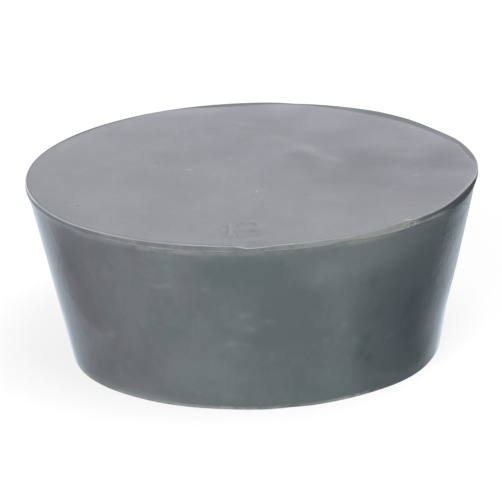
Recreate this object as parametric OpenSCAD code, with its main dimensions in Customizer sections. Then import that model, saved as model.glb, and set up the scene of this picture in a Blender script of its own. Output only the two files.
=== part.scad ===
// Solid rubber stopper with a straight taper. It stands on its narrow face with
// the wide face up, and the origin is the centre of the narrow face.
// All sizes are in millimetres.

/* [Body] */
// Diameter of the wide face
top_d = 64; // [58:0.5:90]
// Diameter of the narrow face
base_d = 53; // [30:0.5:56]
// Height from the narrow face to the wide face
height = 26; // [12:0.5:60]

/* [Land] */
// Height of the straight land that runs round under the wide face
land_h = 0.9; // [0.6:0.1:4]
// How far the land stands proud of the tapered side
land_step = 0.2; // [0.1:0.05:0.6]

/* [Edges] */
// Radius of the wide face's edge
rim_r = 0.35; // [0.1:0.05:0.5]
// Radius of the inner corner where the tapered side meets the land
root_r = 0.08; // [0.02:0.02:0.1]
// Radius of the land's lower edge
lip_r = 0.08; // [0.02:0.02:0.1]
// Radius of the narrow face's edge
base_r = 0.4; // [0.1:0.1:3]
// Straight pieces that each rounded edge of the section is made of
edge_steps = 8; // [3:1:16]

/* [Finish] */
// Colour of the rubber
rubber_color = "dimgray"; // [dimgray, gray, slategray, black]

/* [Hidden] */

// Height at which the tapered side ends and the land begins
land_z = height - land_h;
// The two roundings that share the land's step, each at most half of it
step_root_r = min(root_r, land_step / 2);
step_lip_r = min(lip_r, land_step / 2);

// Half section as corners of [distance from the axis, height, edge radius],
// from the middle of the narrow face round to the middle of the wide face
corners = [
    [0, 0, 0],
    [base_d / 2, 0, base_r],
    [top_d / 2 - land_step, land_z, step_root_r],
    [top_d / 2, land_z, step_lip_r],
    [top_d / 2, height, rim_r],
    [0, height, 0],
];

function place(corner) = [corner[0], corner[1]];
function direction(from, to) = (place(to) - place(from)) / norm(place(to) - place(from));
function turned(v, angle) = [v[0] * cos(angle) - v[1] * sin(angle), v[0] * sin(angle) + v[1] * cos(angle)];

// Points of the arc that rounds a corner, which touches the lines to the corners on each side of it
function arc_points(before, corner, after) =
    let (
        back = direction(corner, before),
        onward = direction(corner, after),
        half = acos(back * onward) / 2,
        middle = (back + onward) / norm(back + onward),
        centre = place(corner) + middle * corner[2] / sin(half),
        first = place(corner) + back * corner[2] / tan(half) - centre,
        sweep = sign(cross(onward, back)) * (180 - 2 * half)
    )
    [for (i = [0 : edge_steps]) centre + turned(first, sweep * i / edge_steps)];

// The half section's outline, in which a corner with no radius stays sharp
function outline(corners) =
    let (count = len(corners))
    [for (i = [0 : count - 1])
        each corners[i][2] == 0
            ? [place(corners[i])]
            : arc_points(corners[i - 1], corners[i], corners[i + 1])];

module stopper() {
    color(rubber_color)
        rotate_extrude($fn = 180)
            polygon(outline(corners));
}

stopper();
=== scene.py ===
"""Looks of a solid rubber stopper: its moulded faces, trimmed land, raised size number and satin side."""
import math

import bmesh
import bpy
from mathutils import Matrix, Vector, noise


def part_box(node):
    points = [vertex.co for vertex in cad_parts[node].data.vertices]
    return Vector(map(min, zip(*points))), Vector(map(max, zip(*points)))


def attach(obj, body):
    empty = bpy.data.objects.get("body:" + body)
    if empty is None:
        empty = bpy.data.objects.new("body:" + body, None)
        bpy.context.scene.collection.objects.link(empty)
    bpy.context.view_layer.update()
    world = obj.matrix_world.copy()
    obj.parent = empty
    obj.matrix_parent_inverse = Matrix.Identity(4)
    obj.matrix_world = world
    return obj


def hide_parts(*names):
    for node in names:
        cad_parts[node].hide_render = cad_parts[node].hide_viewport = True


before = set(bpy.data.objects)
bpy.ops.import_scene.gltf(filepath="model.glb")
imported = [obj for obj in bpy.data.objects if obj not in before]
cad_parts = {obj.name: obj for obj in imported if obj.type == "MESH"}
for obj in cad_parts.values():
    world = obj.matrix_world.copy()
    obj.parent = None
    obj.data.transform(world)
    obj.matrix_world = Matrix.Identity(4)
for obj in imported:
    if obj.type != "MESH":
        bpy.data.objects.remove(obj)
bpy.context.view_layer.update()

low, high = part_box("stopper")

# ---------------------------------------------------------------- sizes of the stopper, in metres
MM = 0.001
WIDE_RADIUS = (high.x - low.x) / 2
HEIGHT = high.z - low.z
NARROW_RADIUS = 26.5 * MM
LAND_HEIGHT = 0.9 * MM
LAND_STEP = 0.2 * MM
LAND_FOOT = HEIGHT - LAND_HEIGHT
SIDE_HOLLOW = 0.02 * MM
RIM_ROUND = 0.15 * MM
LIP_ROUND = 0.08 * MM
BASE_ROUND = 0.2 * MM
# The two points of the rounded corner where the side meets the foot of the land: how far out and how far up
ROOT_BELOW = (-0.01 * MM, -0.06 * MM)
ROOT_ABOVE = (0.02 * MM, 0.0)

# Directions round the axis are in degrees from the front, positive towards the right.
# A wave has its direction, its half width before and after that direction, and its size.

# The cut that trimmed the wide face ran off centre, so the ledge that it left is wider at the back right.
# A short slope leads from the ledge up to the face.
LEDGE_LEAST = 0.42 * MM
LEDGE_SWELLS = ((99, 14, 20, 0.75 * MM), (110, 5, 20, 0.72 * MM), (122, 16, 16, 0.5 * MM),
                (142, 35, 35, 1.8 * MM), (-176, 20, 20, 1.4 * MM), (-132, 30, 30, 0.4 * MM))
LEDGE_DROP = 0.05 * MM
LEDGE_SLOPE = 0.15 * MM

# How the rim rises and falls round the wide face, and how far inside the rim this dies away
RIM_WAVES = ((-1.2, 3.6, 9.0, -0.3 * MM), (-54, 16, 22, -0.1 * MM), (-15, 18, 14, 0.1 * MM),
             (25, 6, 6, -0.05 * MM), (39.5, 10, 6, 0.25 * MM), (52, 5, 6, -0.06 * MM),
             (68, 14, 14, 0.22 * MM), (122, 16, 17, -0.16 * MM), (138, 8, 8, -0.05 * MM),
             (158, 20, 20, -0.1 * MM), (167, 6, 6, -0.07 * MM))
RIM_REACH = 3.2 * MM

# How far the rim stands out of round, the height at which this sets in and the height over which it grows
RIM_BULGES = ((90, 22, 16, 0.2 * MM), (122, 16, 22, -0.2 * MM))
RIM_BULGE_FROM = 8 * MM
RIM_BULGE_GROWTH = 14 * MM

# How far the base stands out of round, and the height at which this ends
BASE_BULGES = ((-60, 24, 28, 0.3 * MM), (53, 24, 24, 0.34 * MM), (-11, 22, 20, -0.25 * MM),
               (9, 7, 8, -0.22 * MM))
BASE_BULGE_TOP = 6 * MM

# How far the side stands out of round at the waist, its height, and how far this reaches up and down
WAIST_BULGES = ((75, 35, 35, -0.2 * MM),)
WAIST_HEIGHT = 6 * MM
WAIST_REACH = 7 * MM

# How far the foot of the land runs below its even height. The side begins to follow it at DROP_REACH below
# the foot of the land, and follows it fully at DROP_FADE above that.
LAND_DROPS = ((-24, 20, 14, 0.1 * MM), (23, 6, 6, -0.2 * MM), (40, 13, 12, 0.18 * MM),
              (64, 24, 20, 0.5 * MM))
DROP_REACH = 3 * MM
DROP_FADE = 2.5 * MM

# The nick where the trimming cut began: its direction, half width and depth, the share of this depth that it
# has on average, and how far the rim falls for each unit that it is deep
NICK_AT = 42.8
NICK_HALF = 1.6
NICK_DEPTH = 0.22 * MM
NICK_MEAN = 0.6
NICK_FALL = 0.5
NICK_ARC = math.radians(NICK_AT) * WIDE_RADIUS

# Unevenness of the rubber: swings to the metre and size, which for the cut and the nick is a share of depth
SIDE_UNEVEN = (90, 0.05 * MM)
FACE_UNEVEN = (110, 0.02 * MM)
CUT_DEPTH = 0.035 * MM
CUT_LONG = (60, 1.0)
CUT_SHORT = (420, 0.5)
NICK_CRUMBLE = (2600, 0.8)
# The side is even at its foot and gets its full unevenness at this height
EVEN_FOOT = 2 * MM

# Raised size number in plain strokes, read from the front, with the foot of the 1 at this place
NUMBER_FOOT = (-3.2 * MM, -28.0 * MM)
DIGIT_HEIGHT = 5.1 * MM
FLAG_REACH = 0.55 * MM
FLAG_DROP = 0.9 * MM
FOOT_BAR_HALF = 0.45 * MM
TWO_WIDTH = 2.7 * MM
TWO_OFFSET = 1.25 * MM
TWO_BOW = range(165, -36, -15)
STROKE_HALF = 0.16 * MM
STROKE_BLEND = 0.19 * MM
NUMBER_RAISE = 0.2 * MM

# Spokes of the mesh: the turn between two of them, and where they are close, across the number and the nick
COARSE_TURN = 0.75
FINE_TURN = 0.17
FINE_PARTS = ((-10.5, 3.0), (NICK_AT - 2.2, NICK_AT + 2.2))

# Rings of the mesh up to the ledge: the innermost one of the narrow face, the shares of the side's height
# between which its rings lie, and how far rings stay clear of the land's foot and of the rim
BASE_INNER_RING = 4 * MM
SIDE_RINGS = (0.035, 0.985)
LAND_CLEAR = 0.2 * MM
RIM_CLEAR = 0.02 * MM

# Rings of the wide face: the distances of two from the ledge, how far the others stay clear of it, and the
# radii between which these lie, close together across the number and wider apart inside it
LEDGE_RINGS = (0.15 * MM, 0.4 * MM)
LEDGE_CLEAR = 0.6 * MM
NUMBER_RINGS = (30.2 * MM, 22.0 * MM)
FACE_RINGS = (20.9 * MM, 1.2 * MM)

# The zones of the skin, in the order of their materials
SIDE, LAND, RIM, LEDGE, FACE = range(5)


# ---------------------------------------------------------------- shapes
def swell(around, middle, half):
    """1 at the middle direction, falling smoothly to 0 at half degrees away from it."""
    apart = abs((around - middle + 180) % 360 - 180)
    return math.cos(0.5 * math.pi * apart / half) ** 2 if apart < half else 0.0


def wave(waves, around):
    """The sum of waves round the stopper in one direction."""
    return sum(size * swell(around, middle, before if around < middle else after)
               for middle, before, after, size in waves)


def smooth(value):
    """0 below 0, 1 above 1 and a smooth step between."""
    value = min(max(value, 0.0), 1.0)
    return value * value * (3 - 2 * value)


def uneven(spot, swings, size):
    """Unevenness of a size at a spot, with a number of swings to the metre."""
    return size * noise.noise(spot * swings)


def arc(radius, height, bend, start, end, steps):
    """Section points on an arc about (radius, height), between two angles above the outward direction."""
    angles = [math.radians(start + (end - start) * i / steps) for i in range(steps + 1)]
    return [(radius + bend * math.cos(a), height + bend * math.sin(a)) for a in angles]


def spread(start, end, count):
    """Values from start to end, both included."""
    return [start + (end - start) * i / (count - 1) for i in range(count)]


def distance_to_line(point, start, end):
    """How far a point on the wide face lies from a straight stroke."""
    along = end - start
    share = min(max((point - start).dot(along) / along.length_squared, 0.0), 1.0)
    return (point - start - along * share).length


def digit_one():
    """Strokes of the 1: a flag, a stem and a short foot bar."""
    top = Vector((0, DIGIT_HEIGHT))
    flag = Vector((-FLAG_REACH, DIGIT_HEIGHT - FLAG_DROP))
    foot = Vector((0, 0))
    half_bar = Vector((FOOT_BAR_HALF, 0))
    return [(flag, top), (top, foot), (foot - half_bar, foot + half_bar)]


def digit_two():
    """Strokes of the 2: a round top in steps of some degrees, a slanting neck and a flat foot."""
    bow = TWO_WIDTH / 2
    crown = Vector((TWO_OFFSET + bow, DIGIT_HEIGHT - bow))
    angles = [math.radians(a) for a in TWO_BOW]
    points = [crown + Vector((bow * math.cos(a), bow * math.sin(a))) for a in angles]
    points += [Vector((TWO_OFFSET, 0)), Vector((TWO_OFFSET + TWO_WIDTH, 0))]
    return list(zip(points, points[1:]))


NUMBER_STROKES = digit_one() + digit_two()
NUMBER_EDGE = STROKE_HALF + STROKE_BLEND
NUMBER_LEAST = Vector((-FLAG_REACH - NUMBER_EDGE, -NUMBER_EDGE))
NUMBER_MOST = Vector((TWO_OFFSET + TWO_WIDTH + NUMBER_EDGE, DIGIT_HEIGHT + NUMBER_EDGE))


def number_height(x, y):
    """How far the moulded number lifts the wide face at a point."""
    point = Vector((x, y)) - Vector(NUMBER_FOOT)
    if not (NUMBER_LEAST.x < point.x < NUMBER_MOST.x and NUMBER_LEAST.y < point.y < NUMBER_MOST.y):
        return 0.0
    nearest = min(distance_to_line(point, *stroke) for stroke in NUMBER_STROKES)
    return NUMBER_RAISE * smooth((NUMBER_EDGE - nearest) / STROKE_BLEND)


def directions():
    """Directions of the mesh's spokes, closer together across the number and the nick."""
    spokes = []
    around = -180.0
    while around < 180.0 - COARSE_TURN / 2:
        spokes.append(around)
        fine = any(first <= around < last for first, last in FINE_PARTS)
        around += FINE_TURN if fine else COARSE_TURN
    return spokes


def tapered_side():
    """Section of the narrow face, its rounded edge and the tapered side, as (radius, height, zone)."""
    side_top = WIDE_RADIUS - LAND_STEP
    slope = math.degrees(math.atan2(side_top - NARROW_RADIUS, LAND_FOOT))
    inset = BASE_ROUND * math.tan(math.radians(45 - slope / 2))
    base_centre = NARROW_RADIUS - inset
    points = [(r, 0.0) for r in spread(BASE_INNER_RING, base_centre - 2 * BASE_ROUND, count=5)]
    points += arc(base_centre, BASE_ROUND, BASE_ROUND, start=-90, end=-slope, steps=6)
    for share in spread(*SIDE_RINGS, count=26):
        hollow = SIDE_HOLLOW * 4 * share * (1 - share)
        points.append((NARROW_RADIUS + (side_top - NARROW_RADIUS) * share - hollow, LAND_FOOT * share))
    out, up = ROOT_BELOW
    points.append((side_top + out, LAND_FOOT + up))
    return [(r, z, SIDE) for r, z in points]


def trimmed_land():
    """Section of the land, from its lip over the rounded rim."""
    rim_height = HEIGHT - LEDGE_DROP - RIM_ROUND
    out, up = ROOT_ABOVE
    points = [(WIDE_RADIUS - LAND_STEP + out, LAND_FOOT + up)]
    points += arc(WIDE_RADIUS - LIP_ROUND, LAND_FOOT + LIP_ROUND, LIP_ROUND, start=-80, end=0, steps=3)
    points += [(WIDE_RADIUS, z) for z in spread(LAND_FOOT + LAND_CLEAR, rim_height, count=5)]
    rim = arc(WIDE_RADIUS - RIM_ROUND, rim_height, RIM_ROUND, start=12, end=90, steps=6)
    return [(r, z, LAND) for r, z in points] + [(r, z, RIM) for r, z in rim]


def wide_face(around):
    """Section of the ledge, the slope inside it and the wide face, with close rings across the number."""
    width = LEDGE_LEAST + wave(LEDGE_SWELLS, around)
    inner = WIDE_RADIUS - width
    slope = min(LEDGE_SLOPE, 0.7 * (width - RIM_ROUND))
    flat = spread(WIDE_RADIUS - RIM_ROUND - RIM_CLEAR, inner + slope, count=3)
    points = [(r, HEIGHT - LEDGE_DROP, LEDGE) for r in flat]
    for share in spread(0.8, 0.0, count=5):
        points.append((inner + slope * share, HEIGHT - LEDGE_DROP * smooth(share), FACE))
    first, last = NUMBER_RINGS
    rings = [inner - distance for distance in LEDGE_RINGS]
    rings += spread(min(inner - LEDGE_CLEAR, first), last, count=62)
    rings += spread(*FACE_RINGS, count=15)
    return points + [(r, HEIGHT, FACE) for r in rings]


def up_the_land(height):
    """0 at the foot of the land and 1 at the top of the stopper."""
    return smooth((height - LAND_FOOT) / LAND_HEIGHT)


def worn_side(around, radius, height, spot):
    """Radius of the side with its bulges and its unevenness."""
    at_edge = smooth(radius / NARROW_RADIUS * 4 - 3)
    radius += wave(BASE_BULGES, around) * smooth(1 - height / BASE_BULGE_TOP) * at_edge
    radius += wave(WAIST_BULGES, around) * smooth(1 - abs(height - WAIST_HEIGHT) / WAIST_REACH)
    return radius + uneven(spot, *SIDE_UNEVEN) * smooth(height / EVEN_FOOT)


def trimmed_edge(around, radius, height, spot):
    """Radius and height of the land or the rim where the trimming cut left it ragged and nicked."""
    radius += CUT_DEPTH * (uneven(Vector((spot.x, spot.y, 0)), *CUT_LONG) + uneven(spot, *CUT_SHORT))
    nick = NICK_DEPTH * swell(around, NICK_AT, NICK_HALF) * (NICK_MEAN + uneven(spot, *NICK_CRUMBLE))
    return radius - nick, height - NICK_FALL * nick * up_the_land(height)


def worn(around, radius, height, zone):
    """A point of the section with the marks of moulding, trimming and handling."""
    turn = math.radians(around)
    spot = Vector((radius * math.sin(turn), -radius * math.cos(turn), height))
    lift = number_height(spot.x, spot.y) if zone == FACE else 0.0
    if zone != FACE:
        radius += wave(RIM_BULGES, around) * smooth((height - RIM_BULGE_FROM) / RIM_BULGE_GROWTH)
    if zone in (SIDE, LAND):
        near_foot = smooth((height - LAND_FOOT + DROP_REACH) / DROP_FADE)
        near_foot *= smooth((HEIGHT - height) / (0.8 * LAND_HEIGHT))
        height -= wave(LAND_DROPS, around) * near_foot
    if zone == SIDE:
        radius = worn_side(around, radius, height, spot)
    else:
        near_rim = smooth(1 - (WIDE_RADIUS - radius) / RIM_REACH) * up_the_land(height)
        height += wave(RIM_WAVES, around) * near_rim + uneven(spot, *FACE_UNEVEN)
    if zone in (LAND, RIM):
        radius, height = trimmed_edge(around, radius, height, spot)
    return radius * math.sin(turn), -radius * math.cos(turn), height + lift


def moulded_stopper():
    """The stopper as one closed mesh with a material for each zone."""
    mesh = bmesh.new()
    spokes = []
    for around in directions():
        section = tapered_side() + trimmed_land() + wide_face(around)
        spokes.append([mesh.verts.new(worn(around, *point)) for point in section])
    zones = [zone for _, _, zone in section]

    def face(corners, zone):
        made = mesh.faces.new(corners)
        made.material_index = zone
        made.smooth = True

    base_middle = mesh.verts.new((0, 0, 0))
    face_middle = mesh.verts.new((0, 0, HEIGHT))
    for spoke, beside in zip(spokes, spokes[1:] + spokes[:1]):
        face((base_middle, spoke[0], beside[0]), SIDE)
        for i, zone in enumerate(zones[1:]):
            face((spoke[i], beside[i], beside[i + 1], spoke[i + 1]), zone)
        face((face_middle, spoke[-1], beside[-1]), FACE)
    bmesh.ops.recalc_face_normals(mesh, faces=mesh.faces)
    data = bpy.data.meshes.new("moulded_stopper")
    mesh.to_mesh(data)
    mesh.free()
    piece = bpy.data.objects.new("moulded_stopper", data)
    bpy.context.scene.collection.objects.link(piece)
    return piece


# ---------------------------------------------------------------- shader expressions
class Value:
    """A shader socket that takes part in Python arithmetic: each operation adds a Math node."""

    def __init__(self, finish, socket):
        self.finish = finish
        self.socket = socket

    def math(self, operation, *operands):
        """The result of a Math node."""
        return self.finish.node("ShaderNodeMath", {"operation": operation}, dict(enumerate(operands)))

    def __add__(self, other):
        return self.math("ADD", self, other)

    def __sub__(self, other):
        return self.math("SUBTRACT", self, other)

    def __mul__(self, other):
        return self.math("MULTIPLY", self, other)

    def __truediv__(self, other):
        return self.math("DIVIDE", self, other)

    def __rsub__(self, other):
        return self.math("SUBTRACT", other, self)

    __radd__ = __add__
    __rmul__ = __mul__

    def ramp(self, start, end):
        """0 at start, 1 at end and smooth between."""
        settings = {"interpolation_type": "SMOOTHSTEP"}
        inputs = {"Value": self, "From Min": start, "From Max": end}
        return self.finish.node("ShaderNodeMapRange", settings, inputs)


class Finish:
    """The nodes of a material or of the room."""

    def __init__(self, owner):
        owner.use_nodes = True
        self.owner = owner
        self.tree = owner.node_tree
        self.tree.nodes.clear()

    def node(self, kind, settings, inputs, output=0):
        """A node of a type: its settings come first, then the values or links of its sockets."""
        made = self.tree.nodes.new(kind)
        for name, value in settings.items():
            setattr(made, name, value)
        for key, value in inputs.items():
            socket = self.find(made.inputs, key)
            if isinstance(value, Value):
                self.tree.links.new(value.socket, socket)
            else:
                socket.default_value = value
        return Value(self, self.find(made.outputs, output)) if len(made.outputs) else None

    @staticmethod
    def find(sockets, key):
        """A socket by its number, or the one in use that has a name."""
        if isinstance(key, int):
            return sockets[key]
        return next(socket for socket in sockets if socket.enabled and socket.name == key)

    def place(self):
        """Where a point of the stopper lies, as a vector in metres."""
        return self.node("ShaderNodeTexCoord", {}, {}, "Object")

    def part(self, vector, axis):
        """One part of a vector: X, Y or Z."""
        return self.node("ShaderNodeSeparateXYZ", {}, {0: vector}, axis)

    def place_on(self, axis):
        """Where a point of the stopper lies along one axis, in metres."""
        return self.part(self.place(), axis)

    @staticmethod
    def polar(x, y):
        """Direction of a place, in radians from the front, and its distance from the axis."""
        return x.math("ARCTAN2", x, y * -1), x.math("SQRT", x * x + y * y)

    def along_rim(self):
        """Where a point lies as (way round the rim, distance from the axis, height), in metres."""
        place = self.place()
        x, y, z = (self.part(place, axis) for axis in "XYZ")
        around, radius = self.polar(x, y)
        inputs = {"X": around * WIDE_RADIUS, "Y": radius, "Z": z}
        return self.node("ShaderNodeCombineXYZ", {}, inputs)

    def clouds(self, size, detail=3.0, roughness=0.5, offset=0.0, stretch=(1, 1, 1), place=None):
        """Soft noise about 0.5, in patches about size across that are longer where stretch is under 1."""
        inputs = {"Vector": place or self.place(), "Location": (offset,) * 3, "Scale": stretch}
        at = self.node("ShaderNodeMapping", {}, inputs)
        inputs = {"Vector": at, "Scale": 1 / size, "Detail": detail, "Roughness": roughness}
        return self.node("ShaderNodeTexNoise", {}, inputs, "Fac")

    def patch(self, middle, halves, turn=0.0):
        """A soft round patch: 1 at its middle and 0 at its half sizes, turned by degrees about Z."""
        rotation = (0, 0, math.radians(turn))
        inputs = {"Vector": self.place(), "Location": middle, "Rotation": rotation, "Scale": halves}
        inside = self.node("ShaderNodeMapping", {"vector_type": "TEXTURE"}, inputs)
        apart = self.node("ShaderNodeVectorMath", {"operation": "LENGTH"}, {0: inside}, "Value")
        return apart.ramp(1.0, 0.0)

    def blend(self, first, second, share):
        """One colour turning into another."""
        settings = {"data_type": "RGBA"}
        return self.node("ShaderNodeMix", settings, {"Factor": share, "A": first, "B": second}, "Result")

    def relief(self, height, depth):
        """Normals of a fine relief whose height is in units of depth."""
        return self.node("ShaderNodeBump", {}, {"Height": height, "Distance": depth}, "Normal")

    def matt(self, grey):
        """A matt surface of an even grey."""
        return self.node("ShaderNodeBsdfDiffuse", {}, {"Color": (grey, grey, grey, 1)})

    def close(self, surface, output="ShaderNodeOutputMaterial"):
        """Ends the nodes in one surface."""
        self.node(output, {}, {"Surface": surface})
        return self.owner

    def close_rubber(self, colour, roughness, normal, **sockets):
        """Ends a material of the stopper."""
        inputs = {"Base Color": colour, "Roughness": roughness, "Normal": normal, **sockets}
        return self.close(self.node("ShaderNodeBsdfPrincipled", {}, inputs))


def finish_named(name):
    """The finish of a new material."""
    return Finish(bpy.data.materials.new(name))


def tone(red, green, blue):
    """A display colour from 0 to 255 as the linear colour that a shader takes."""
    return tuple(((c / 255 + 0.055) / 1.055) ** 2.4 for c in (red, green, blue)) + (1.0,)


# ---------------------------------------------------------------- the tapered side
# Lengths in the tables of the side are in millimetres, and directions are in degrees from the front.
SIDE_GREENS = (tone(72, 81, 81), tone(90, 97, 97))
SIDE_LILACS = (tone(77, 77, 81), tone(94, 94, 98))
SIDE_PAINTED_SHADE = tone(57, 66, 77)
SMUDGE_GREY = tone(120, 120, 120)
SMEAR_GREY = tone(122, 122, 122)
PALE_EDGE_GREY = tone(150, 151, 146)
LEFT_FOOT_GREY = tone(128, 132, 132)

# How pale the side is at least, and its clouds: size, detail, roughness, offset and strength
SIDE_LEAST = 0.14
SIDE_CLOUDS = ((7, 5, 0.55, 0.0, 0.4), (2, 4, 0.6, 0.0, 0.2), (0.9, 3, 0.6, 0.6, 0.12))
# Dark and pale patches of the side: direction, height, half width, half height and strength
# The dark ones at the right between 30 and 50 degrees are painted shade that deepens the dark band mirrored
# there
SIDE_PATCHES = ((9, 13, 9, 14, -0.7), (10, 2, 9, 6, -0.3), (21, 9, 8, 6, -0.4), (19, 20.5, 6, 4, 0.6),
                (38, 24, 12, 5, 0.4), (-7, 22, 9, 3.5, -0.6), (-22, 22, 8, 5, 0.25),
                (-19, 5.5, 11, 6.5, 0.65), (-45, 14, 9, 10, -0.2), (-60, 3, 6, 5, 0.5), (33, 8, 4, 8, 0.2),
                (-55, 21.5, 6, 6, -0.7), (-34, 6, 4.5, 4.5, -0.5), (-48, 22.5, 8, 3.5, -0.4),
                (-52, 7, 4, 4, 0.6), (36, 21, 9, 3, 0.35), (5, 22, 4, 3, -0.5), (14, 9.5, 16, 3, 0.3),
                (48.6, 13, 2.4, 2.8, -0.8), (46.5, 11.5, 2, 2, -0.6), (49.5, 8, 2.6, 2.2, -0.6),
                (33.5, 5.9, 1.2, 1.0, -0.65), (31.8, 18.3, 1.5, 2.1, -0.5), (30.4, 7.4, 1.4, 1.4, -0.25),
                (32.3, 9.4, 1.4, 1.4, -0.45), (35.1, 12.8, 1.4, 2.0, -0.4))
# Faint pale smudges, given in the same way
SMUDGES = ((-2.7, 15.0, 1.5, 0.7, 0.6), (-1.3, 13.1, 1.2, 0.8, 0.36), (2.8, 14.1, 1.8, 0.8, 0.25),
           (-44.4, 9.7, 2.4, 1.3, 0.3), (-47.5, 9.0, 2.4, 1.3, 0.25), (-50.5, 8.5, 2.6, 2.0, 0.35),
           (-57, 9.6, 2.6, 1.5, 0.35), (-25.8, 19.0, 2.0, 0.8, 0.35), (-23.2, 19.3, 1.2, 0.8, 0.33),
           (-12.6, 19.2, 1.0, 0.6, 0.2), (-44, 3.2, 2.2, 1.8, 0.3), (-50, 2.0, 0.8, 1.0, 0.4),
           (-17.5, 2.6, 1.2, 0.6, 0.3), (-8, 2.2, 1.8, 1.4, 0.3), (27.8, 9.0, 1.4, 2.4, 0.22),
           (24.5, 12.0, 1.1, 1.6, 0.3), (26.7, 6.4, 1.5, 1.8, 0.2), (19.1, 10.2, 0.9, 0.8, 0.25),
           (40.5, 8.3, 1.1, 0.7, 0.5), (-3.3, 10.6, 1.4, 0.7, 0.45), (-6.6, 10.6, 1.4, 0.8, 0.35),
           (-24, 24.0, 4.2, 1.1, 0.45), (-12, 24.2, 2.4, 1.0, 0.3))
# The strength of the pale smear just below the land, and where it is stronger, given in the same way
SMEAR_LEAST = 0.3
SMEARS = ((-14, 25, 22, 20, 0.3), (-22, 25, 8, 8, 0.5), (30, 25, 8, 8, 0.7))
# The polished bands at the left and right, along the rim: where one starts, is full, weakens and ends
POLISHED_BAND = (38, 44, 54, 70)


def side_patch(finish, around, height, wide, high):
    """A soft patch of the side."""
    turn = math.radians(around)
    radius = NARROW_RADIUS + (WIDE_RADIUS - NARROW_RADIUS) * height * MM / HEIGHT
    middle = (radius * math.sin(turn), -radius * math.cos(turn), height * MM)
    return finish.patch(middle, (wide * MM, wide * MM, high * MM))


def with_side_patches(finish, share, patches):
    """A share that is changed by patches of the side."""
    for around, height, wide, high, strength in patches:
        share = share + side_patch(finish, around, height, wide, high) * strength
    return share


def side_paleness(finish):
    """How pale the side is: clouds of three sizes, patches, and a foot that is mostly paler as painted
    light.
    """
    share = SIDE_LEAST
    for size, detail, roughness, offset, strength in SIDE_CLOUDS:
        share = share + strength * finish.clouds(size * MM, detail, roughness, offset).ramp(0.3, 0.7)
    share = with_side_patches(finish, share, SIDE_PATCHES)
    across = finish.place_on("X")
    # Painted light: paler low down, more at both ends but not under the dark band at the right, standing in
    # for the bright floor mirrored there
    ends = 0.35 * across.ramp(-12 * MM, -18 * MM) + 0.25 * across.ramp(20 * MM, 24 * MM)
    foot = finish.place_on("Z").ramp(4 * MM, 0.5 * MM)
    return share + foot * (0.3 * across.ramp(16 * MM, 9 * MM) + ends)


def side_colour(finish):
    """Lilac greys at the left that turn green towards the right, with a bluish painted shade at the right.
    """
    paleness = side_paleness(finish)
    green = finish.blend(*SIDE_GREENS, paleness)
    lilac = finish.blend(*SIDE_LILACS, paleness)
    hue = finish.place_on("X") * 50 + 3 * finish.clouds(4 * MM, 5, 0.65, offset=0.3)
    greener = hue.ramp(0.2, 1.4) * (1 - 0.4 * side_patch(finish, 5, 13, 15, 16))
    colour = finish.blend(lilac, green, greener)
    # Painted shade: a bluish dark patch at the right, where the rubber mirrors the dark card
    return finish.blend(colour, SIDE_PAINTED_SHADE, side_patch(finish, 53, 11, 20, 24) * 0.6)


def smudged_side(finish, colour):
    """The side with its faint ragged smudges."""
    ragged = finish.clouds(1.2 * MM, 4, 0.65, offset=0.7).ramp(0.25, 0.75)
    for around, height, wide, high, strength in SMUDGES:
        smudge = side_patch(finish, around, height, wide, high)
        colour = finish.blend(colour, SMUDGE_GREY, smudge * ragged * strength)
    return colour


def smeared_side(finish, colour):
    """The side with the pale smear just below the land."""
    below_land = finish.place_on("Z").ramp(LAND_FOOT - 1.0 * MM, LAND_FOOT - 0.2 * MM)
    smear = below_land * with_side_patches(finish, SMEAR_LEAST, SMEARS)
    return finish.blend(colour, SMEAR_GREY, smear * finish.clouds(2 * MM, 4, offset=0.2).ramp(0.2, 0.55))


def pale_foot_edge(finish, colour):
    """The side with its lower edge pale in places except at the right, and a broader pale band at the left.
    """
    height = finish.place_on("Z")
    across = finish.place_on("X")
    broken = finish.clouds(3 * MM, 3, offset=0.1).ramp(0.36, 0.56)
    edge = height.ramp(0.7 * MM, 0.25 * MM) * broken * across.ramp(20 * MM, 12 * MM)
    edge = edge * (1 - 0.6 * side_patch(finish, 14, 0.5, 7, 3))
    colour = finish.blend(colour, PALE_EDGE_GREY, edge * 0.8)
    left = height.ramp(1.8 * MM, 0.4 * MM) * across.ramp(-9 * MM, -14 * MM)
    return finish.blend(colour, LEFT_FOOT_GREY, left * 0.5)


def side_grain(finish):
    """Grain of the side, with streaks up and down, and rougher at the right."""
    fine = finish.clouds(0.3 * MM, 3, 0.6)
    broad = finish.clouds(1.6 * MM, 3, offset=0.5)
    streaks = finish.clouds(0.5 * MM, 3, 0.6, stretch=(1, 1, 0.1), place=finish.along_rim())
    grain = 0.3 * fine + 0.7 * broad + 0.4 * streaks
    rough_side = finish.place_on("X").ramp(20 * MM, 27 * MM)
    return grain + 0.8 * rough_side * finish.clouds(0.7 * MM, 2, offset=0.4)


def polish(finish):
    """How far the side is polished: a band at the left and another low down at the right."""
    around = finish.part(finish.along_rim(), "X")
    low_down = finish.place_on("Z").ramp(11 * MM, 5 * MM)

    def band(side):
        start, full, full_end, end = (side * place * MM for place in POLISHED_BAND)
        return around.ramp(start, full) * around.ramp(end, full_end)

    return band(-1) * (0.5 + 0.5 * low_down) + band(1) * low_down


def side_rubber():
    """Satin moulded rubber: green and lilac greys that run into each other, with pale smudges, a bluish
    painted shade at the right and painted light low down.
    """
    finish = finish_named("side_rubber")
    colour = side_colour(finish)
    for layer in (smudged_side, smeared_side, pale_foot_edge):
        colour = layer(finish, colour)
    roughness = 0.12 + 0.08 * finish.clouds(5 * MM, 3, offset=0.9)
    grain = finish.relief(side_grain(finish), 0.06 * MM)
    return finish.close_rubber(colour, roughness, grain, **{"Coat Weight": polish(finish)})


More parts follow.
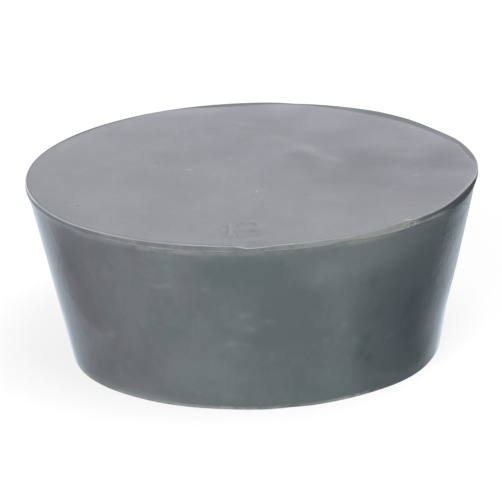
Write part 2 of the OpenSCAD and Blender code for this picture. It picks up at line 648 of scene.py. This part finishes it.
# ---------------------------------------------------------------- the trimmed land, the rim and the ledge
LAND_GREYS = (tone(90, 93, 95), tone(108, 109, 110))
TORN_GREY = tone(134, 142, 134)
LAND_PAINTED_SHADE = tone(42, 49, 52)
LEFT_LAND_GREY = tone(80, 82, 86)
WORN_LIP_GREY = tone(140, 140, 136)
CRUMB_GREYS = (tone(160, 166, 156), tone(52, 58, 58))

RIM_GREYS = (tone(110, 110, 114), tone(132, 132, 134))
LEFT_RIM_HIGHLIGHT_GREY = tone(146, 146, 148)
GLINT_GREY = tone(188, 190, 196)
PAST_NICK_GREY = tone(92, 94, 98)
LUMP_GREY = tone(160, 163, 154)
FAR_RIM_SHADE_GREYS = (tone(90, 96, 99), tone(62, 72, 73))
BARE_GREY = tone(124, 128, 130)

LEDGE_GREYS = (tone(69, 75, 79), tone(83, 88, 92))
LEDGE_PAINTED_SHADE = tone(54, 60, 64)
LEDGE_END_GREY = tone(88, 86, 93)
LEDGE_TIP_HIGHLIGHT_GREY = tone(108, 107, 113)


def beyond_nick(around, start, end):
    """0 to 1 along the rim between two distances from the nick, in millimetres, positive past it."""
    return around.ramp(NICK_ARC + start * MM, NICK_ARC + end * MM)


def crumbled_nick(finish, colour, along):
    """The land with pale and dark crumbs at the nick."""
    around = finish.part(along, "X")
    crumbs = finish.clouds(0.17 * MM, 4, 0.65, offset=0.6, place=along)
    at_nick = beyond_nick(around, -3.2, -0.8) * beyond_nick(around, 2, 0.4)
    pale, dark = CRUMB_GREYS
    colour = finish.blend(colour, pale, at_nick * crumbs.ramp(0.5, 0.66) * 0.8)
    return finish.blend(colour, dark, at_nick * crumbs.ramp(0.46, 0.34) * 0.8)


def land_rubber():
    """Trimmed land: grey, streaked pale at the front right where it tore, and darker past the nick with
    painted shade.
    """
    finish = finish_named("land_rubber")
    along = finish.along_rim()
    around = finish.part(along, "X")
    height = finish.part(along, "Z")
    streaks = finish.clouds(0.5 * MM, 3, 0.6, stretch=(0.16, 1, 1), place=along)
    blotches = finish.clouds(2.2 * MM, 4, 0.6, offset=0.2, place=along).ramp(0.35, 0.65)
    colour = finish.blend(*LAND_GREYS, blotches)
    torn = around.ramp(2 * MM, 12 * MM) * beyond_nick(around, 0, -2) * (0.1 + 0.7 * streaks)
    colour = finish.blend(colour, TORN_GREY, torn)
    # Painted shade: past the nick the land is made darker, like the dark that it mirrors there
    past_nick = beyond_nick(around, 0, 2) * around.ramp(96 * MM, 66 * MM)
    colour = finish.blend(colour, LAND_PAINTED_SHADE, past_nick * (0.35 + 0.42 * beyond_nick(around, 1, 9)))
    left = around.ramp(-20 * MM, -26 * MM) * around.ramp(-96 * MM, -66 * MM)
    colour = finish.blend(colour, LEFT_LAND_GREY, left * 0.8)
    lip = height.ramp(LAND_FOOT + 0.18 * MM, LAND_FOOT + 0.08 * MM)
    worn_lip = lip * (0.25 + 0.3 * blotches + past_nick * 0.25) * beyond_nick(around, 9.5, 5)
    colour = finish.blend(colour, WORN_LIP_GREY, worn_lip)
    colour = crumbled_nick(finish, colour, along)
    return finish.close_rubber(colour, 0.3 + 0.3 * torn, finish.relief(streaks, 0.05 * MM))


def near_rim_colour(finish, around, rubbed):
    """The rim at the near side: pale with painted highlight, more so at the left, where it ends in a painted
    glint, and with a pale lump at the nick.
    """
    colour = finish.blend(*RIM_GREYS, rubbed)
    # Painted highlight: the rim is paler at the left, with a glint further left
    colour = finish.blend(colour, LEFT_RIM_HIGHLIGHT_GREY, around.ramp(-12 * MM, -22 * MM) * 0.7)
    colour = finish.blend(colour, GLINT_GREY, around.ramp(-37 * MM, -42 * MM) * 0.7)
    colour = finish.blend(colour, PAST_NICK_GREY, beyond_nick(around, 1, 9) * 0.15)
    lump = beyond_nick(around, -1.8, -0.6) * beyond_nick(around, 0.9, 0.2)
    return finish.blend(colour, LUMP_GREY, lump * 0.6)


def far_rim_colour(finish, along):
    """The rim at the far side: dark with painted shade, more so towards the right, with paler stretches."""
    colour = finish.blend(*FAR_RIM_SHADE_GREYS, finish.place_on("X").ramp(-4 * MM, 18 * MM))
    bare = finish.clouds(5 * MM, 2, offset=0.3, place=along).ramp(0.5, 0.62)
    return finish.blend(colour, BARE_GREY, bare * 0.6)


def rim_rubber():
    """Rounded rim: pale with painted highlight at the near side and dark with painted shade at the far side.
    """
    finish = finish_named("rim_rubber")
    along = finish.along_rim()
    rubbed = finish.clouds(1.2 * MM, 3, 0.6, stretch=(0.3, 1, 1), place=along).ramp(0.3, 0.7)
    near = near_rim_colour(finish, finish.part(along, "X"), rubbed)
    far = far_rim_colour(finish, along)
    # Painted light: the same rim is pale at the near side and dark at the far side
    colour = finish.blend(far, near, finish.place_on("Y").ramp(14 * MM, 2 * MM))
    return finish.close_rubber(colour, 0.4, finish.relief(rubbed, 0.03 * MM))


def ledge_rubber():
    """Cut ledge inside the rim: darker than the face, partly as painted shade, with a painted highlight at
    its right tip and fine marks that follow the cut.
    """
    finish = finish_named("ledge_rubber")
    along = finish.along_rim()
    marks = finish.clouds(0.6 * MM, 3, 0.6, stretch=(0.12, 1, 1), place=along)
    blotches = finish.clouds(4 * MM, 3, place=along)
    x = finish.place_on("X")
    # Partly painted shade: the ledge's greys are darker than the face's
    colour = finish.blend(*LEDGE_GREYS, blotches.ramp(0.35, 0.65))
    # Painted shade: a dark band on the ledge at the right
    colour = finish.blend(colour, LEDGE_PAINTED_SHADE, x.ramp(16 * MM, 22 * MM) * x.ramp(29 * MM, 25 * MM) * 0.55)
    right_end = x.ramp(28.5 * MM, 31 * MM)
    colour = finish.blend(colour, LEDGE_END_GREY, right_end * 0.5)
    # Painted highlight: a paler tip at the right end
    colour = finish.blend(colour, LEDGE_TIP_HIGHLIGHT_GREY, right_end * finish.place_on("Y").ramp(3 * MM, -1 * MM))
    return finish.close_rubber(colour, 0.42 + 0.12 * marks, finish.relief(marks, 0.03 * MM))


# ---------------------------------------------------------------- the wide face
FACE_GREYS = (tone(87, 88, 91), tone(125, 126, 130))
FACE_LILACS = (tone(86, 87, 94), tone(125, 125, 134))
RUB_GREY = tone(130, 130, 132)
DUST_GREY = tone(150, 150, 150)
GRIME_AND_SHADE_GREY = tone(76, 78, 82)
PIT_GREY = tone(50, 50, 54)

# Dark and pale patches and rubs, in millimetres: middle, half sizes, turn in degrees and strength
# The dark patches round the number and just in front of it, at the dip of the rim, are painted shade
DARK_PATCHES = (((9.5, 6), (5, 5), 0, 0.6), ((16.5, 4), (7, 7), 0, 1.4), ((15, -6), (10, 10), 0, 0.7),
                ((28, 3), (6, 10), 0, 1.1), ((10.5, 14), (5, 2.2), -46, 0.5), ((22, -10), (10, 12), 0, 0.9),
                ((-1, -26.6), (5, 3.2), 0, 0.7), ((-0.5, -30.8), (4, 1.8), 0, 0.9),
                ((-13, 8), (4, 3), 0, 0.3), ((17, 0.5), (9, 5), 0, 0.6), ((7.3, 2.5), (5, 5), 0, 0.8),
                ((24.5, 0), (6, 6), 0, 0.8), ((13.5, -4), (8, 7), 0, 0.7), ((23, 6.5), (5, 4), 0, 0.7),
                ((9, -6), (12, 12), 0, 0.4), ((24, 1), (7, 7), 0, 0.4), ((12, -17), (12, 7), 0, 0.35),
                ((7.5, 5), (4, 5), 0, 0.4), ((25, -3), (5, 4), 0, 0.4), ((9.6, 11.5), (4, 2), -46, 0.5),
                ((6.0, 6.2), (2.6, 2.6), 0, 0.8), ((7.5, -0.5), (4, 4), 0, 0.5), ((26, -6), (5, 4), 0, 0.4),
                ((29.6, -1.5), (3.4, 3.2), 0, 0.65), ((1.5, -5), (4, 5), 0, 0.3))
PALE_PATCHES = (((13, 21), (9, 7), 0, 0.8), ((-20, 14), (14, 16), 0, 0.5), ((-8, 27), (18, 7), 0, 0.6),
                ((-20, -8), (10, 12), 0, 0.2), ((-13, 22), (9, 6), 0, 0.7), ((-24, 13), (8, 10), 0, 0.3),
                ((12, 26), (11, 4), 0, 0.9), ((-9, 29), (9, 4), 0, 0.8), ((5.5, 29.8), (6, 3.5), 0, 1.2),
                ((5, 26), (4, 5), 0, 0.9), ((-12, 28.6), (9, 3.5), 0, 0.6), ((-12, 1), (4, 4), 0, 0.4),
                ((3.5, 14.5), (3, 3), 0, 0.5))
RUBS = (((8.4, 8.4), (11.5, 1.8), -54, 0.6), ((0, 21), (6, 1.6), -24, 0.35), ((27, 17), (4, 1.4), -58, 0.4))
# Grime, painted shade on the number and pale scrapes, in millimetres: middle, half sizes and strength
# The first three grime marks lie on the size number and are painted shade along its strokes; the last is
# grime
GRIME_AND_NUMBER_SHADE = (((-0.5, -26.2), (2.6, 0.5), 0.6), ((-1.5, -23.3), (0.6, 0.6), 0.6),
         ((0.7, -27.9), (0.7, 0.6), 0.6), ((-13.4, 4.8), (0.6, 1.6), 0.2))
SCRAPES = (((-8.7, 0.9), (0.75, 0.35), 0.7), ((0.7, -9.7), (0.22, 0.9), 0.8),
           ((-13.7, 2.8), (0.75, 0.4), 0.35), ((-5.3, -1.7), (0.7, 0.4), 0.3),
           ((-3.8, -3.4), (0.4, 0.9), 0.2), ((0.4, -12.7), (0.25, 0.9), 0.25),
           ((-2.8, 5.3), (0.5, 0.6), 0.3), ((0.0, -21.9), (0.3, 0.6), 0.4), ((23.1, -5.1), (0.3, 0.6), 0.4),
           ((23.9, 16.9), (0.5, 0.5), 0.45), ((-10.7, 18.3), (0.3, 0.8), 0.3))
# Pits, which are all of one size: middle and strength
PITS = (((-24.1, -13.2), 0.7), ((-11.1, -0.6), 0.55), ((2.7, 13.5), 0.35), ((-5.1, 13.9), 0.25),
        ((17.4, 0.5), 0.3))
PIT_HALVES = (0.3, 0.45)


def face_patch(finish, middle, halves, turn=0.0):
    """A soft patch of the wide face."""
    (x, y), (long, across) = middle, halves
    return finish.patch((x * MM, y * MM, HEIGHT), (long * MM, across * MM, 1), turn)


def face_paleness(finish):
    """How pale the wide face is: clouds, patches, fine mottling, and a paler margin at the back that is
    painted sheen.
    """
    clouds = finish.clouds(11 * MM, 4, 0.55, stretch=(1, 0.6, 1))
    patches = finish.clouds(4 * MM, 4, offset=0.2, stretch=(1, 0.6, 1))
    mottle = finish.clouds(1.2 * MM, 3, 0.6, offset=0.1)
    share = 0.5 * (clouds * 0.6 + patches * 0.4).ramp(0.3, 0.7) + 0.5 * mottle
    for places, sign in ((DARK_PATCHES, -0.5), (PALE_PATCHES, 0.5)):
        for middle, halves, turn, strength in places:
            share = share + face_patch(finish, middle, halves, turn) * (sign * strength)
    # Painted sheen: a paler margin along the back of the face
    margin = finish.part(finish.along_rim(), "Y").ramp(26.5 * MM, 30.5 * MM)
    share = share + 0.33 * margin * finish.place_on("Y").ramp(-4 * MM, 14 * MM)
    return 0.25 + 0.5 * share


def face_colour(finish):
    """Plain greys of the wide face that run into lilac ones towards the back right."""
    paleness = face_paleness(finish)
    plain = finish.blend(*FACE_GREYS, paleness)
    lilac = finish.blend(*FACE_LILACS, paleness)
    towards_back_right = finish.place_on("X") + finish.place_on("Y")
    hue = towards_back_right * 15 + 3 * finish.clouds(6 * MM, 5, 0.6, offset=0.5)
    return finish.blend(plain, lilac, hue.ramp(0.9, 2.1))


def rubbed_face(finish, colour):
    """The wide face with its ragged rubs and specks of dust."""
    ragged = finish.clouds(1.6 * MM, 4, 0.6, offset=0.8, stretch=(1, 0.6, 1)).ramp(0.2, 0.7)
    for middle, halves, turn, strength in RUBS:
        rub = face_patch(finish, middle, halves, turn)
        colour = finish.blend(colour, RUB_GREY, rub * ragged * strength)
    dust = finish.clouds(0.6 * MM, 1, offset=0.4).ramp(0.77, 0.82)
    return finish.blend(colour, DUST_GREY, dust * 0.5)


def marked_face(finish, colour):
    """The wide face with its grime, painted shade on the size number, scrapes and pits."""
    pits = [(middle, PIT_HALVES, strength) for middle, strength in PITS]
    for marks, grey in ((GRIME_AND_NUMBER_SHADE, GRIME_AND_SHADE_GREY), (SCRAPES, DUST_GREY), (pits, PIT_GREY)):
        for middle, halves, strength in marks:
            colour = finish.blend(colour, grey, face_patch(finish, middle, halves) * strength)
    return colour


def face_rubber():
    """Matt rubber: lilac grey and cloudy, with pale rubs and scrapes, grime, painted shade on and round the
    number, a painted sheen at the back, pits and specks of dust.
    """
    finish = finish_named("face_rubber")
    colour = marked_face(finish, rubbed_face(finish, face_colour(finish)))
    roughness = 0.5 + 0.12 * finish.clouds(7 * MM, 3, offset=0.6)
    grain = finish.clouds(0.3 * MM, 3, 0.6) * 0.3 + finish.clouds(3 * MM, 2)
    return finish.close_rubber(colour, roughness, finish.relief(grain, 0.05 * MM))


# ---------------------------------------------------------------- stage, light and camera
# Angles are in degrees, the lens and its sensor in millimetres, and all other lengths in metres.
AIM = Vector((-0.36, 0, 13.72)) * MM
CAMERA_DISTANCE = 500 * MM
CAMERA_RISE = 19.8
CAMERA_ROLL = 1.9
LENS = 250.6
SENSOR = 36.0
SIGHT_END = 20

WHITE = (1, 1, 1, 1)
COOL_WHITE = (0.74, 0.87, 1.0, 1)
ROOM_FILL = 0.4

# Lamps: name, degrees round from the front, degrees up, size and power
SOFTBOXES = (("key", -25, 28, 0.4, 4.6), ("overhead", 40, 72, 0.4, 4.4), ("back", 145, 34, 0.5, 2.4))
SOFTBOX_DISTANCE = 0.8

# The floor, and how much of it glows white where the camera sees it and where the stopper mirrors it
FLOOR_HALF = 3.0
FLOOR_GREY = 0.8
GLOW_SEEN = 0.75
GLOW_MIRRORED = 0.8

# Painted shade: the cards are dark floor that shows only in the satin rubber's reflections.
# Two dark cards lie beside the stopper. Distances on them are in millimetres beyond the base. Each card
# lies between two edges, in degrees from the front, which turn further round with the distance. The front
# edge also gets more blurred with it.
CARD_LIFT = 0.1 * MM
CARD_SHADE_GREY = 0.03
CARD_BLUR_GROWTH = 0.18
# A card may be weaker near the base: it gains its strength between these distances
CARD_GAIN = (5, 13)
# A card ends softly at this distance in this direction, and further out with each degree towards the back
CARD_END = 28.5
CARD_END_AT = 60
CARD_END_TURN = 0.25
CARD_END_BLUR = 5
# A share of the right card has straight back edges, each with its slope and where it meets the X axis. This
# share is full up to the second of these distances and gone at the first.
STRAIGHT_EDGES = ((1.9, 32), (1.15, 29.2))
STRAIGHT_REACH = (20, 12)

# A third card, also painted shade, lies further off at the back right, where the land past the nick mirrors
# it
FAR_CARD = ((72, -6), (160, -30), (160, 150), (52, 60), (66, 35), (73, 15))
FAR_CARD_SHADE_GREY = 0.05
FAR_CARD_LIFT = 3 * CARD_LIFT


def direction(around, rise, away):
    """A place seen from the aim point: degrees round from the front, degrees up and metres away."""
    turn, lift = math.radians(around), math.radians(rise)
    x, y = math.sin(turn) * math.cos(lift), -math.cos(turn) * math.cos(lift)
    return AIM + away * Vector((x, y, math.sin(lift)))


def flat_sheet(name, outline, height):
    """A flat sheet of the stage, from points in metres."""
    data = bpy.data.meshes.new(name)
    data.from_pydata([(x, y, height) for x, y in outline], [], [tuple(range(len(outline)))])
    sheet = bpy.data.objects.new(name, data)
    bpy.context.scene.collection.objects.link(sheet)
    return sheet


def mirrored_only(sheet):
    """Hides a sheet from everything but the surfaces that mirror it."""
    for rays in ("camera", "diffuse", "shadow", "transmission"):
        setattr(sheet, "visible_" + rays, False)


def seen(finish):
    """1 for what the camera sees straight, for what is mirrored and for what shows through something."""
    names = ("Is Camera Ray", "Is Glossy Ray", "Is Transmission Ray")
    return [finish.node("ShaderNodeLightPath", {}, {}, name) for name in names]


def floor():
    """A pale floor that keeps the stopper's shadow."""
    half = FLOOR_HALF
    sheet = flat_sheet("floor", ((-half, -half), (half, -half), (half, half), (-half, half)), 0)
    finish = finish_named("pale_floor")
    camera, glossy, transmission = seen(finish)
    hue = finish.blend(WHITE, COOL_WHITE, glossy)
    glow = finish.node("ShaderNodeEmission", {}, {"Color": hue, "Strength": 1.0})
    share = camera * GLOW_SEEN + (glossy + transmission) * GLOW_MIRRORED
    surface = finish.node("ShaderNodeMixShader", {}, {0: share, 1: finish.matt(FLOOR_GREY), 2: glow})
    sheet.data.materials.append(finish.close(surface))


def card_spread(finish, side, front, back, straight_share):
    """1 on a card and 0 off it, and how many millimetres a place is beyond the base."""
    x = finish.place_on("X") * side
    y = finish.place_on("Y")
    turn, away = finish.polar(x, y)
    around = turn * math.degrees(1)
    beyond = (away - NARROW_RADIUS) * (1 / MM)
    edge, growth, blur = front
    entry = ((around - edge - growth * beyond) / (blur + CARD_BLUR_GROWTH * beyond)).ramp(-1, 1)
    edge, growth, most, blur = back
    turned = growth * beyond
    leave = (around - edge - turned.math("MINIMUM", turned, most)).ramp(blur, -blur)
    straight = [(slope * (x - start * MM) - y).ramp(-1 * MM, 1 * MM) for slope, start in STRAIGHT_EDGES]
    straightened = beyond.ramp(*STRAIGHT_REACH) * straight_share
    leave = leave * (1 - straightened) + straight[0] * straight[1] * straightened
    end = beyond - CARD_END_TURN * (around - CARD_END_AT)
    return entry * leave * end.ramp(CARD_END + CARD_END_BLUR, CARD_END - CARD_END_BLUR), beyond


def card(name, side, strength, near_base, front, back, straight_share):
    """A dark card on one side, with soft edges: painted shade that shows only where the satin rubber mirrors
    it.

    The front edge has its direction, its turn with each millimetre of distance, and its blur. The back
    edge has the same, with the most that it turns before its blur. near_base is the part of its strength
    that the card has near the base, and straight_share the share of it with straight back edges.
    """
    half = FLOOR_HALF
    outline = ((0, -half), (side * half, -half), (side * half, half), (0, half))
    sheet = flat_sheet(name, outline, CARD_LIFT)
    mirrored_only(sheet)
    finish = finish_named(name)
    spread_out, beyond = card_spread(finish, side, front, back, straight_share)
    growing = strength * near_base + strength * (1 - near_base) * beyond.ramp(*CARD_GAIN)
    clear = finish.node("ShaderNodeBsdfTransparent", {}, {"Color": WHITE})
    inputs = {0: spread_out * growing, 1: clear, 2: finish.matt(CARD_SHADE_GREY)}
    surface = finish.node("ShaderNodeMixShader", {}, inputs)
    sheet.data.materials.append(finish.close(surface))


def far_shade_card():
    """A plain dark card at the back right: painted shade that shows only in the trimmed land."""
    sheet = flat_sheet("far_shade_card", [(x * MM, y * MM) for x, y in FAR_CARD], FAR_CARD_LIFT)
    mirrored_only(sheet)
    finish = finish_named("far_shade_card")
    sheet.data.materials.append(finish.close(finish.matt(FAR_CARD_SHADE_GREY)))


def room():
    """Even light all round, with a white room in view."""
    world = bpy.data.worlds.new("room")
    bpy.context.scene.world = world
    finish = Finish(world)
    camera, glossy, transmission = seen(finish)
    fill = finish.node("ShaderNodeBackground", {}, {"Color": WHITE, "Strength": ROOM_FILL})
    white = finish.node("ShaderNodeBackground", {}, {"Color": WHITE, "Strength": 1.0})
    inputs = {0: camera + glossy + transmission, 1: fill, 2: white}
    surface = finish.node("ShaderNodeMixShader", {}, inputs)
    finish.close(surface, output="ShaderNodeOutputWorld")


def softbox(name, place, size, power):
    """A square lamp that faces the stopper."""
    data = bpy.data.lights.new(name, "AREA")
    data.size = size
    data.energy = power
    light = bpy.data.objects.new(name, data)
    light.location = place
    light.rotation_euler = (AIM - place).to_track_quat("-Z", "Y").to_euler()
    bpy.context.scene.collection.objects.link(light)


def camera():
    """The camera looks a little down on the stopper, and is held slightly askew."""
    data = bpy.data.cameras.new("camera")
    data.lens = LENS
    data.sensor_width = SENSOR
    data.clip_end = SIGHT_END
    eye = bpy.data.objects.new("camera", data)
    away = direction(0, CAMERA_RISE, 1) - AIM
    eye.location = AIM + CAMERA_DISTANCE * away
    level = away.to_track_quat("Z", "Y").to_matrix().to_4x4()
    eye.rotation_euler = (level @ Matrix.Rotation(math.radians(-CAMERA_ROLL), 4, "Z")).to_euler()
    bpy.context.scene.collection.objects.link(eye)
    bpy.context.scene.camera = eye


# ---------------------------------------------------------------- the scene
stopper = moulded_stopper()
for material in (side_rubber(), land_rubber(), rim_rubber(), ledge_rubber(), face_rubber()):
    stopper.data.materials.append(material)
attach(stopper, "root")
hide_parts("stopper")

floor()
card("right_shade_card", side=1, strength=0.92, near_base=1.0,
     front=(32.5, 0.4, 4), back=(66, 1.55, 90, 13), straight_share=0.36)
card("left_shade_card", side=-1, strength=0.68, near_base=0.62,
     front=(44, 1.5, 12), back=(64, 1.9, 40, 9), straight_share=0)
far_shade_card()
room()
for name, around, rise, size, power in SOFTBOXES:
    softbox(name, direction(around, rise, SOFTBOX_DISTANCE), size, power)
camera()
bpy.context.scene.view_settings.view_transform = "Standard"
